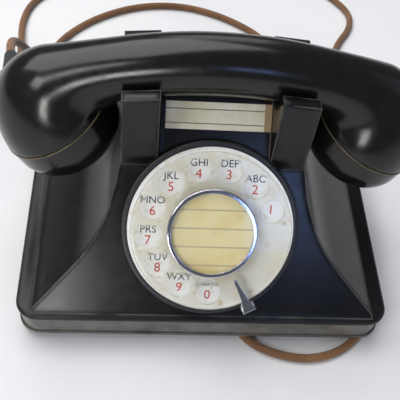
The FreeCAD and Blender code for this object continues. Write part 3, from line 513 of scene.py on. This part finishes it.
@dataclass
class Dial:
    """Number ring, finger wheel, card and stop."""

    finishes: Finishes
    place: DialFrame = field(default_factory=DialFrame)
    hole_circle: float = 31.0 * MM
    hole_start: float = 20.5
    hole_step: float = 360.0 / 13.0
    plate_top: float = 5.0 * MM
    ink: float = 0.06 * MM
    digit_size: float = 6.6 * MM
    letter_size: float = 5.2 * MM
    digit_drop: float = 2.6 * MM
    letter_rise: float = 2.9 * MM
    long_word: float = 0.42
    groups: tuple[str, ...] = ("", "ABC", "DEF", "GHI", "JKL", "MNO", "PRS", "TUV", "WXY", "OPERATOR")

    def build(self) -> None:
        """Dress the dial's nodes and lay the printed digits and letters on the number plate."""
        paint("dial_case", self.finishes.case)
        paint("number_plate", self.finishes.enamel)
        paint("finger_wheel", self.finishes.acrylic)
        paint("card_window", self.finishes.window)
        paint("card_bezel", self.finishes.chrome)
        paint("finger_stop", self.finishes.chrome)
        paint("number_card", self.finishes.card)
        paint("dial_shaft", self.finishes.brass)
        paint("main_gear", self.finishes.brass)
        paint("pulse_shaft", self.finishes.brass)
        paint("dial_bridge", self.finishes.steel)
        paint("impulse_springs", self.finishes.fibre)
        self.print_ring()

    def print_ring(self) -> None:
        """Print one digit under each finger hole, with its letters above it."""
        digits = []
        letters = []
        for index, group in enumerate(self.groups):
            turn = math.radians(self.hole_start + index * self.hole_step)
            x = self.hole_circle * math.cos(turn)
            y = self.hole_circle * math.sin(turn)
            drop = self.digit_drop if group else 0.0
            digits.append((str((index + 1) % 10), self.digit_size, x, y - drop))
            if group:
                size = self.letter_size if len(group) == 3 else self.letter_size * self.long_word
                letters.append((group, size, x, y + self.letter_rise))
        self.print_words("dial_digits", digits, self.finishes.digit_ink)
        self.print_words("dial_letters", letters, self.finishes.letter_ink)

    def print_words(self, name: str, words: list[tuple[str, float, float, float]],
                    ink: bpy.types.Material) -> None:
        """Lay thin printed words on the number plate as one mesh.

        Args:
            name: the piece's name.
            words: text, letter height, and place right and up the slope from the dial's axis.
            ink: the material.
        """
        points = []
        faces = []
        count = 0
        for text, size, x, y in words:
            mesh = text_mesh(text, size, self.ink)
            flat = np.empty(len(mesh.vertices) * 3)
            mesh.vertices.foreach_get("co", flat)
            flat = flat.reshape(-1, 3) + np.array([x, y, self.plate_top + self.ink])
            points.append(self.place.place(flat))
            loops = np.empty(len(mesh.loops), dtype=np.int64)
            mesh.loops.foreach_get("vertex_index", loops)
            starts = np.empty(len(mesh.polygons), dtype=np.int64)
            mesh.polygons.foreach_get("loop_start", starts)
            faces += [part.tolist() for part in np.split(loops + count, starts[1:])]
            count += len(flat)
            bpy.data.meshes.remove(mesh)
        piece = add_mesh(name, np.concatenate(points), faces, ink, "base")
        piece.data.polygons.foreach_set("use_smooth", np.zeros(len(piece.data.polygons), dtype=bool))


def text_mesh(text: str, size: float, depth: float) -> bpy.types.Mesh:
    """Words as a thin solid mesh, centred on the origin.

    Args:
        text: the words.
        size: letter height in metres.
        depth: half the thickness in metres.

    Returns:
        A mesh of its own.
    """
    curve = bpy.data.curves.new("words", "FONT")
    curve.body = text
    curve.size = size
    curve.align_x = "CENTER"
    curve.align_y = "CENTER"
    curve.extrude = depth
    curve.resolution_u = 3
    holder = bpy.data.objects.new("words", curve)
    bpy.context.scene.collection.objects.link(holder)
    bpy.context.view_layer.update()
    mesh = bpy.data.meshes.new_from_object(holder.evaluated_get(bpy.context.evaluated_depsgraph_get()))
    bpy.data.objects.remove(holder)
    bpy.data.curves.remove(curve)
    return mesh


@dataclass
class Base:
    """Housing, plate, feet and everything inside."""

    finishes: Finishes

    def build(self) -> None:
        """Dress every fixed node of the base."""
        paint("housing", self.finishes.bakelite)
        paint("label_card", self.finishes.label)
        paint("base_plate", self.finishes.steel)
        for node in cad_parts:
            if node.startswith(("foot_", "line_cord_grommet", "handset_cord_grommet")):
                paint(node, self.finishes.rubber)
            elif node.startswith(("base_screw", "gong_screw", "terminal_screw", "ringer_bracket",
                                  "hook_bracket", "clapper")):
                paint(node, self.finishes.steel)
            elif node.startswith("gong_"):
                paint(node, self.finishes.brass)
            elif node.startswith(("ringer_coil", "induction_coil")):
                paint(node, self.finishes.copper)
            elif node.startswith(("condenser", "terminal_block", "hook_contacts", "hook_yoke")):
                paint(node, self.finishes.fibre)
            elif node.startswith("plunger_"):
                paint(node, self.finishes.case)


@dataclass
class Handset:
    """Grip with two cups, their caps and the cord boot."""

    finishes: Finishes
    voxel: float = 0.9 * MM
    passes: int = 40
    keep_near: float = 2.5
    free_from: float = 8.0
    seams: tuple[tuple[float, float, float], ...] = ((-77.8, 91.0, -30.0), (78.2, 88.0, 25.0))
    axis_y: float = -8.0
    bar_arc: float = 197.0
    bar_top: float = 126.7
    bar_reach: float = 76.0
    bar_radius: float = 14.5
    bar_swell: float = 1.2
    swell_span: tuple[float, float] = (44.0, 76.0)
    cup_radius: float = 28.5
    cup_height: float = 33.0
    cup_power: float = 1.5
    bore_radius: float = 24.8
    bore_depth: float = 9.6
    melt: float = 3.6
    seam_radius: float = 28.46
    seam_thread: float = 0.34
    seam_points: int = 96
    thread_points: int = 8
    first_draws: int = 6
    last_draws: int = 3
    slope_step: float = 0.05
    slope_floor: float = 0.2
    cup_reach: float = 1.3

    def build(self) -> None:
        """Replace the grip by one flowing moulding and dress the rest."""
        piece = self.flowing_grip()
        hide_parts("handset_handle")
        for side, seam in zip(("transmitter", "receiver"), self.seams):
            paint(side + "_cap", self.finishes.handset)
            self.seam_line(side + "_seam", seam)
        for node in ("transmitter_capsule", "receiver_capsule"):
            paint(node, self.finishes.steel)
        paint("handset_cord_boot", self.finishes.rubber)

    def flowing_grip(self) -> bpy.types.Object:
        """Melt the joint of grip and cups.

        The node's solid is remeshed evenly. Its outer points are drawn onto the melted form, evened out among
        their neighbours and drawn onto it again, by a share that fades to nothing near the two seams and in
        the bores, so those edges stay as they are.

        Returns:
            The new piece.
        """
        mesh = even_copy("handset_handle", self.voxel)
        points = np.empty(len(mesh.vertices) * 3)
        mesh.vertices.foreach_get("co", points)
        points = points.reshape(-1, 3) / MM
        edges = np.empty(len(mesh.edges) * 2, dtype=np.int64)
        mesh.edges.foreach_get("vertices", edges)
        faces = np.empty(len(mesh.loops), dtype=np.int64)
        mesh.loops.foreach_get("vertex_index", faces)
        bpy.data.meshes.remove(mesh)
        share = self.freedom(points)
        points = self.drawn(points, share, self.first_draws)
        points = relaxed(points, edges.reshape(-1, 2), share, self.passes)
        points = self.drawn(points, share, self.last_draws) * MM
        quads = faces.reshape(-1, 4).tolist()
        return add_mesh("handset_grip", points, quads, self.finishes.handset, "handset")

    def cup_place(self, points: np.ndarray,
                  seam: tuple[float, float, float]) -> tuple[np.ndarray, np.ndarray]:
        """Height of points over a cup's seam, and their distance from the cup's axis.

        Args:
            points: places in millimetres.
            seam: x and z of the cup's middle at the seam, and the tilt in degrees.

        Returns:
            Heights and distances in millimetres.
        """
        x, z, tilt = seam
        turn = math.radians(tilt)
        up = np.array([math.sin(turn), 0.0, math.cos(turn)])
        away = points - np.array([x, self.axis_y, z])
        height = away @ up
        return height, np.linalg.norm(away - height[:, None] * up, axis=1)

    def field(self, points: np.ndarray) -> np.ndarray:
        """Distance outside the melted form.

        The bar is a tube about an arc that swells towards its ends, each cup back is a dome, and the three
        distances d join as -m log(sum(exp(-d / m))), which rounds every inner corner by about m.

        Args:
            points: places in millimetres.

        Returns:
            One distance per point, negative inside.
        """
        low = self.bar_top - self.bar_arc
        limit = math.asin(self.bar_reach / self.bar_arc)
        turn = np.clip(np.arctan2(points[:, 0], points[:, 2] - low), -limit, limit)
        middle = np.stack([self.bar_arc * np.sin(turn), np.full_like(turn, self.axis_y),
                           low + self.bar_arc * np.cos(turn)], axis=1)
        first, last = self.swell_span
        swell = smooth_step((np.abs(middle[:, 0]) - first) / (last - first))
        forms = [np.linalg.norm(points - middle, axis=1) - self.bar_radius - self.bar_swell * swell]
        for seam in self.seams:
            height, reach = self.cup_place(points, seam)
            rise = (np.clip(height, 0.0, None) / self.cup_height) ** self.cup_power
            forms.append((np.sqrt((reach / self.cup_radius) ** 2 + rise) - 1.0) * self.cup_radius)
        nearest = np.minimum.reduce(forms)
        return nearest - self.melt * np.log(sum(np.exp((nearest - form) / self.melt) for form in forms))

    def drawn(self, points: np.ndarray, share: np.ndarray, rounds: int) -> np.ndarray:
        """Move points along the field's slope until the distance is nothing.

        Args:
            points: places in millimetres.
            share: how far each point may move, from 0 to 1.
            rounds: number of steps.

        Returns:
            The new places in millimetres.
        """
        small = self.slope_step
        for _ in range(rounds):
            slope = np.stack([self.field(points + small * axis) - self.field(points - small * axis)
                              for axis in np.eye(3)], axis=1) / (2.0 * small)
            steep = np.maximum((slope ** 2).sum(axis=1, keepdims=True), self.slope_floor)
            points = points - share * self.field(points)[:, None] * slope / steep
        return points

    def seam_line(self, name: str, seam: tuple[float, float, float]) -> None:
        """Thin worn line where a cap meets its cup: a torus about the cup's axis.

        Args:
            name: the piece's name.
            seam: x and z of the cup's middle at the seam in millimetres, and the tilt in degrees.
        """
        x, z, tilt = seam
        turn = np.linspace(0.0, 2.0 * math.pi, self.seam_points, endpoint=False)[:, None]
        across = np.linspace(0.0, 2.0 * math.pi, self.thread_points, endpoint=False)[None, :]
        radius = self.seam_radius + self.seam_thread * np.cos(across)
        flat_x, flat_y = radius * np.cos(turn), radius * np.sin(turn)
        height = self.seam_thread * np.sin(across) + 0.0 * turn
        lean = math.radians(tilt)
        points = np.stack([x + flat_x * math.cos(lean) + height * math.sin(lean), self.axis_y + flat_y,
                           z - flat_x * math.sin(lean) + height * math.cos(lean)], axis=-1)
        quads = grid_faces(self.seam_points, self.thread_points, True).tolist()
        add_mesh(name, points.reshape(-1, 3) * MM, quads, self.finishes.seam, "handset")

    def freedom(self, points: np.ndarray) -> np.ndarray:
        """Share by which each point may move.

        It is 0 at a seam and in a bore, and rises smoothly to 1 further up the cup.

        Args:
            points: places in millimetres.

        Returns:
            One share per point.
        """
        share = np.ones(len(points))
        for seam in self.seams:
            height, reach = self.cup_place(points, seam)
            near = reach < self.cup_reach * self.cup_radius
            risen = smooth_step((height - self.keep_near) / (self.free_from - self.keep_near))
            bored = (reach < self.bore_radius) & (height < self.bore_depth)
            share = np.where(near, np.minimum(share, np.where(bored, 0.0, risen)), share)
        return share[:, None]


def smooth_step(value: np.ndarray) -> np.ndarray:
    """Smooth rise from 0 to 1 as the value goes from 0 to 1."""
    share = np.clip(value, 0.0, 1.0)
    return share * share * (3.0 - 2.0 * share)


def even_copy(node: str, voxel: float) -> bpy.types.Mesh:
    """Closed copy of a CAD node's mesh with even faces.

    Args:
        node: the node's name.
        voxel: size of the faces in metres.

    Returns:
        A mesh of its own.
    """
    same_point = 1e-6
    shape = bmesh.new()
    shape.from_mesh(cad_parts[node].data)
    bmesh.ops.remove_doubles(shape, verts=shape.verts, dist=same_point)
    mesh = bpy.data.meshes.new("even")
    shape.to_mesh(mesh)
    shape.free()
    holder = bpy.data.objects.new("even", mesh)
    bpy.context.scene.collection.objects.link(holder)
    remesh = holder.modifiers.new("even", "REMESH")
    remesh.mode = "VOXEL"
    remesh.voxel_size = voxel
    bpy.context.view_layer.update()
    even = bpy.data.meshes.new_from_object(holder.evaluated_get(bpy.context.evaluated_depsgraph_get()))
    bpy.data.objects.remove(holder)
    bpy.data.meshes.remove(mesh)
    return even


def relaxed(points: np.ndarray, edges: np.ndarray, share: np.ndarray, passes: int) -> np.ndarray:
    """Move points towards the mean of their neighbours, again and again.

    Args:
        points: vertex places.
        edges: pairs of joined points.
        share: how far each point may move, from 0 to 1.
        passes: number of rounds.

    Returns:
        The smoothed places.
    """
    pull = 0.6
    degree = np.bincount(edges.ravel(), minlength=len(points))[:, None]
    for _ in range(passes):
        total = np.zeros_like(points)
        np.add.at(total, edges[:, 0], points[edges[:, 1]])
        np.add.at(total, edges[:, 1], points[edges[:, 0]])
        points = points + pull * share * (total / degree - points)
    return points


@dataclass
class Cords:
    """Handset cord and line cord of braided cloth."""

    finishes: Finishes
    diameter: float = 4.6 * MM
    ring_points: int = 12
    laid: float = 2.3
    bush_y: float = 79.5
    bush_z: float = 11.5
    coil_centre: tuple[float, float] = (6.0, 268.0)
    coil_radius: float = 25.0
    coil_turns: int = 3
    coil_pitch: float = 4.8
    coil_low: float = 3.3
    turn_points: int = 16
    hang_from: float = 20.0 * MM
    prong_length: float = 12.0 * MM
    prong_fade: float = 0.05 * MM
    tube_upright: tuple[float, float, float] = (0.13, 0.21, 0.97)

    def build(self) -> None:
        paint("coil_tie", self.finishes.tie)
        paint("line_plug", self.plug_finish())
        self.handset_cord()
        self.line_cord()

    def plug_finish(self) -> bpy.types.Material:
        """Black moulding that turns to bare metal at the prongs, past the plug's face."""
        nodes = MaterialNodes("plug_moulding")
        where = nodes.object_coords()
        face_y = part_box("line_plug")[0][1] + self.prong_length
        prong = nodes.ramp(nodes.axis(where, 1), face_y + self.prong_fade, face_y - self.prong_fade)
        grain = nodes.noise(where, 700.0, 3.0)
        colour = nodes.mix(prong, (0.014, 0.014, 0.014), (0.6, 0.55, 0.42))
        nodes.link(colour, nodes.shader.inputs["Base Color"])
        nodes.link(prong, nodes.shader.inputs["Metallic"])
        nodes.link(nodes.spread(grain, (0.3, 0.45)), nodes.shader.inputs["Roughness"])
        nodes.bump(grain, 0.05, 0.0006)
        return nodes.material

    def handset_route(self) -> list[tuple[float, float, float]]:
        """Control points from the boot to the right rear bush, in millimetres."""
        low = self.laid
        return [(-102.209, 23.383, 97.286), (-105.818, 40.166, 91.872), (-105.6, 55.5, 80),
                (-103, 71.5, 60), (-99.5, 86, 36.5), (-98.2, 104, 16), (-98.5, 125, 4.8),
                (-95, 150, low), (-68.5, 178.5, low), (-32, 195.5, low), (7, 194, low),
                (47, 170.5, low), (66, 139, low), (64.5, 112, 3.4), (58.5, 97, 8.6),
                (57, self.bush_y, self.bush_z)]

    def run_route(self) -> list[tuple[float, float, float]]:
        """Control points of the line cord from the left rear bush to the coil, in millimetres."""
        low = self.laid
        flat = [(-10, 123), (6, 129.5), (20.5, 121), (25, 104), (23.5, 80), (25.5, 44), (22, -4),
                (17, -48), (16.5, -74), (26, -86.5), (41, -93), (58, -95.2), (76, -89.5), (90, -76),
                (91.5, -54), (88.5, -22), (88, 22), (90.5, 62), (95, 100), (99.5, 134), (108, 160),
                (120.5, 178), (124, 196), (114, 214), (97, 231), (76, 243)]
        start = [(-20, self.bush_y, self.bush_z), (-20.3, 94, 10.6), (-19, 109, 5.6)]
        return start + [(x, y, low) for x, y in flat] + [(53, 246.5, low + 0.2), (29, 243.6, low + 0.7)]

    def coil_route(self) -> list[tuple[float, float, float]]:
        """Control points of the coil: clockwise turns that climb a pitch each.

        They lie on a slightly wider circle, because the spline passes inside its control points.
        """
        total = self.coil_turns * self.turn_points
        wide = self.coil_radius / (0.75 + 0.25 * math.cos(2.0 * math.pi / self.turn_points))
        points = []
        for step in range(total + 1):
            turn = -math.pi / 2.0 - 2.0 * math.pi * step / self.turn_points
            height = self.coil_low + self.coil_pitch * step / self.turn_points
            points.append((self.coil_centre[0] + wide * math.cos(turn),
                           self.coil_centre[1] + wide * math.sin(turn), height))
        return points

    def tail_route(self) -> list[tuple[float, float, float]]:
        """Control points from the top of the coil to the plug, in millimetres."""
        low = self.laid
        return [(-9, 243.2, 17.2), (-27, 241.5, 12.4), (-45, 237.5, 6), (-64, 230.5, 2.6),
                (-84, 221, low), (-104, 208, low), (-119, 190, low), (-123.5, 168, low),
                (-121.5, 147, low + 0.2), (-120, 132, 4.4), (-119, 119.5, 8.8), (-118.5, 108, 11)]

    def handset_cord(self) -> None:
        """Cord between handset and base, on neither body."""
        path = smooth_path(self.handset_route())
        piece = self.tube("handset_cord_braid", path, None)
        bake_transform(piece)
        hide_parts("handset_cord")

    def line_cord(self) -> None:
        """Cord from the base under the telephone, through the coil to the plug."""
        path = smooth_path(self.run_route() + self.coil_route() + self.tail_route())
        piece = self.tube("line_cord_braid", path, "base")
        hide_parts("line_cord_run", "line_cord_coil", "line_cord_tail")

    def tube(self, name: str, path: np.ndarray, body: str | None) -> bpy.types.Object:
        """Round tube about a path: each ring is the path point plus a circle across its direction.

        Args:
            name: the piece's name.
            path: points along the middle, in metres.
            body: the body it moves with, or None.

        Returns:
            The tube with a UV map, once round in u and diameters along in v.
        """
        ahead = np.gradient(path, axis=0)
        ahead /= np.linalg.norm(ahead, axis=1)[:, None]
        side = np.cross(ahead, np.array(self.tube_upright))
        side /= np.linalg.norm(side, axis=1)[:, None]
        over = np.cross(side, ahead)
        turn = np.linspace(0.0, 2.0 * math.pi, self.ring_points, endpoint=False)
        circle = side[:, None] * np.cos(turn)[None, :, None] + over[:, None] * np.sin(turn)[None, :, None]
        rings = path[:, None] + 0.5 * self.diameter * circle
        quads = grid_faces(len(path), self.ring_points, False)[:, ::-1]
        count = len(path) * self.ring_points
        ends = [tuple(range(self.ring_points)), tuple(range(count - 1, count - self.ring_points - 1, -1))]
        piece = add_mesh(name, rings.reshape(-1, 3), quads.tolist() + ends, self.finishes.cloth, body)
        along = np.r_[0.0, np.cumsum(np.linalg.norm(np.diff(path, axis=0), axis=1))] / self.diameter
        row, column = np.divmod(np.arange(len(quads)), self.ring_points)
        across = np.stack([column, column + 1, column + 1, column], axis=1) / self.ring_points
        down = along[np.stack([row + 1, row + 1, row, row], axis=1)]
        values = np.zeros((len(piece.data.loops), 2))
        values[:across.size] = np.stack([across.ravel(), down.ravel()], axis=1)
        layer = piece.data.uv_layers.new(name="braid")
        layer.data.foreach_set("uv", values.ravel())
        return piece


def smooth_path(route: list[tuple[float, float, float]]) -> np.ndarray:
    """Points along a smooth spline that has the route as its control points.

    Args:
        route: control points in millimetres.

    Returns:
        Points in metres, in order along the spline.
    """
    curve = bpy.data.curves.new("route", "CURVE")
    curve.dimensions = "3D"
    curve.resolution_u = 8
    spline = curve.splines.new("NURBS")
    spline.points.add(len(route) - 1)
    weighted = np.c_[np.array(route) * MM, np.ones(len(route))]
    spline.points.foreach_set("co", weighted.ravel())
    spline.order_u = 3
    spline.use_endpoint_u = True
    holder = bpy.data.objects.new("route", curve)
    bpy.context.scene.collection.objects.link(holder)
    bpy.context.view_layer.update()
    mesh = bpy.data.meshes.new_from_object(holder.evaluated_get(bpy.context.evaluated_depsgraph_get()))
    points = np.empty(len(mesh.vertices) * 3)
    mesh.vertices.foreach_get("co", points)
    bpy.data.meshes.remove(mesh)
    bpy.data.objects.remove(holder)
    bpy.data.curves.remove(curve)
    return points.reshape(-1, 3)


@dataclass
class Studio:
    """Pale table, soft lights and the camera at the photograph's place."""

    camera_at: tuple[float, float, float] = (-36.98, -263.2, 353.21)
    yaw: float = 8.087
    pitch: float = 51.916
    roll: float = 8.25
    focal_pixels: float = 733.6
    image_pixels: float = 400.0
    sensor: float = 36.0
    table_reach: float = 6.0
    room_colour: tuple[float, float, float] = (0.90, 0.94, 1.0)
    room_strength: float = 0.14

    def build(self) -> None:
        """Set up the table, the lights, the world and the camera."""
        self.table()
        self.lights()
        self.camera()
        bpy.context.scene.view_settings.view_transform = "Standard"

    def camera(self) -> None:
        """Camera from yaw, pitch and roll: right and up are turned about the view direction by the roll."""
        yaw, pitch, roll = (math.radians(a) for a in (self.yaw, self.pitch, self.roll))
        ahead = Vector((math.sin(yaw) * math.cos(pitch), math.cos(yaw) * math.cos(pitch), -math.sin(pitch)))
        flat = Vector((math.cos(yaw), -math.sin(yaw), 0.0))
        upright = flat.cross(ahead)
        right = math.cos(roll) * flat + math.sin(roll) * upright
        up = -math.sin(roll) * flat + math.cos(roll) * upright
        lens = bpy.data.cameras.new("camera")
        lens.sensor_width = self.sensor
        lens.lens = self.sensor * self.focal_pixels / self.image_pixels
        holder = bpy.data.objects.new("camera", lens)
        turn = Matrix((right, up, -ahead)).transposed()
        holder.matrix_world = Matrix.Translation(Vector(self.camera_at) * MM) @ turn.to_4x4()
        bpy.context.scene.collection.objects.link(holder)
        bpy.context.scene.camera = holder

    def table(self) -> None:
        """Wide pale table top with a faint mottle."""
        reach = self.table_reach
        corners = [(-reach, -reach, 0), (reach, -reach, 0), (reach, reach, 0), (-reach, reach, 0)]
        mesh = bpy.data.meshes.new("table")
        mesh.from_pydata(corners, [], [(0, 1, 2, 3)])
        mesh.materials.append(Finish("pale_table", (0.80, 0.80, 0.81), (0.75, 0.75, 0.77), (0.5, 0.6),
                                     blotch=9.0).material())
        top = bpy.data.objects.new("table", mesh)
        bpy.context.scene.collection.objects.link(top)

    def lights(self) -> None:
        """Large soft lamps over and beside the telephone, and an even pale world."""
        self.lamp("lamp_over", (-0.5, 0.5, 1.5), (0.0, 0.0, 0.05), 1.7, 29.0, (1.0, 1.0, 1.0))
        self.lamp("lamp_rear", (0.2, 1.8, 1.3), (0.0, 0.0, 0.05), 0.9, 4.0, (0.96, 0.98, 1.0))
        self.lamp("lamp_front", (-1.3, -1.3, 1.8), (0.0, 0.0, 0.05), 0.8, 15.0, (1.0, 0.99, 0.97))
        self.lamp("lamp_right", (1.2, 0.1, 0.7), (0.0, 0.0, 0.06), 0.9, 0.8, (0.62, 0.76, 1.0))
        self.lamp("window_right", (0.36, -1.35, 0.80), (0.04, -0.04, 0.07), 0.26, 1.1, (0.32, 0.48, 1.0))
        self.lamp("window_low", (-0.38, -1.55, 0.56), (-0.07, -0.07, 0.03), 0.36, 5.0, (1.0, 0.99, 0.96))
        world = bpy.data.worlds.new("room")
        world.use_nodes = True
        back = world.node_tree.nodes["Background"]
        back.inputs["Color"].default_value = (*self.room_colour, 1.0)
        back.inputs["Strength"].default_value = self.room_strength
        bpy.context.scene.world = world

    def lamp(self, name: str, at: tuple, to: tuple, size: float, power: float, colour: tuple) -> None:
        """One square soft lamp.

        Args:
            name: the lamp's name.
            at: its place in metres.
            to: the point it faces.
            size: its side in metres.
            power: watts.
            colour: light colour.
        """
        light = bpy.data.lights.new(name, "AREA")
        light.size = size
        light.energy = power
        light.color = colour
        holder = bpy.data.objects.new(name, light)
        holder.location = at
        holder.rotation_euler = (Vector(to) - Vector(at)).to_track_quat("-Z", "Y").to_euler()
        bpy.context.scene.collection.objects.link(holder)


def main() -> None:
    """Build every sub-assembly in order, then the studio."""
    logging.basicConfig(level=logging.INFO, format="%(name)s %(message)s")
    finishes = Finishes()
    Cords(finishes).build()
    Base(finishes).build()
    Dial(finishes).build()
    Handset(finishes).build()
    Studio().build()


if __name__ == "__main__":
    main()
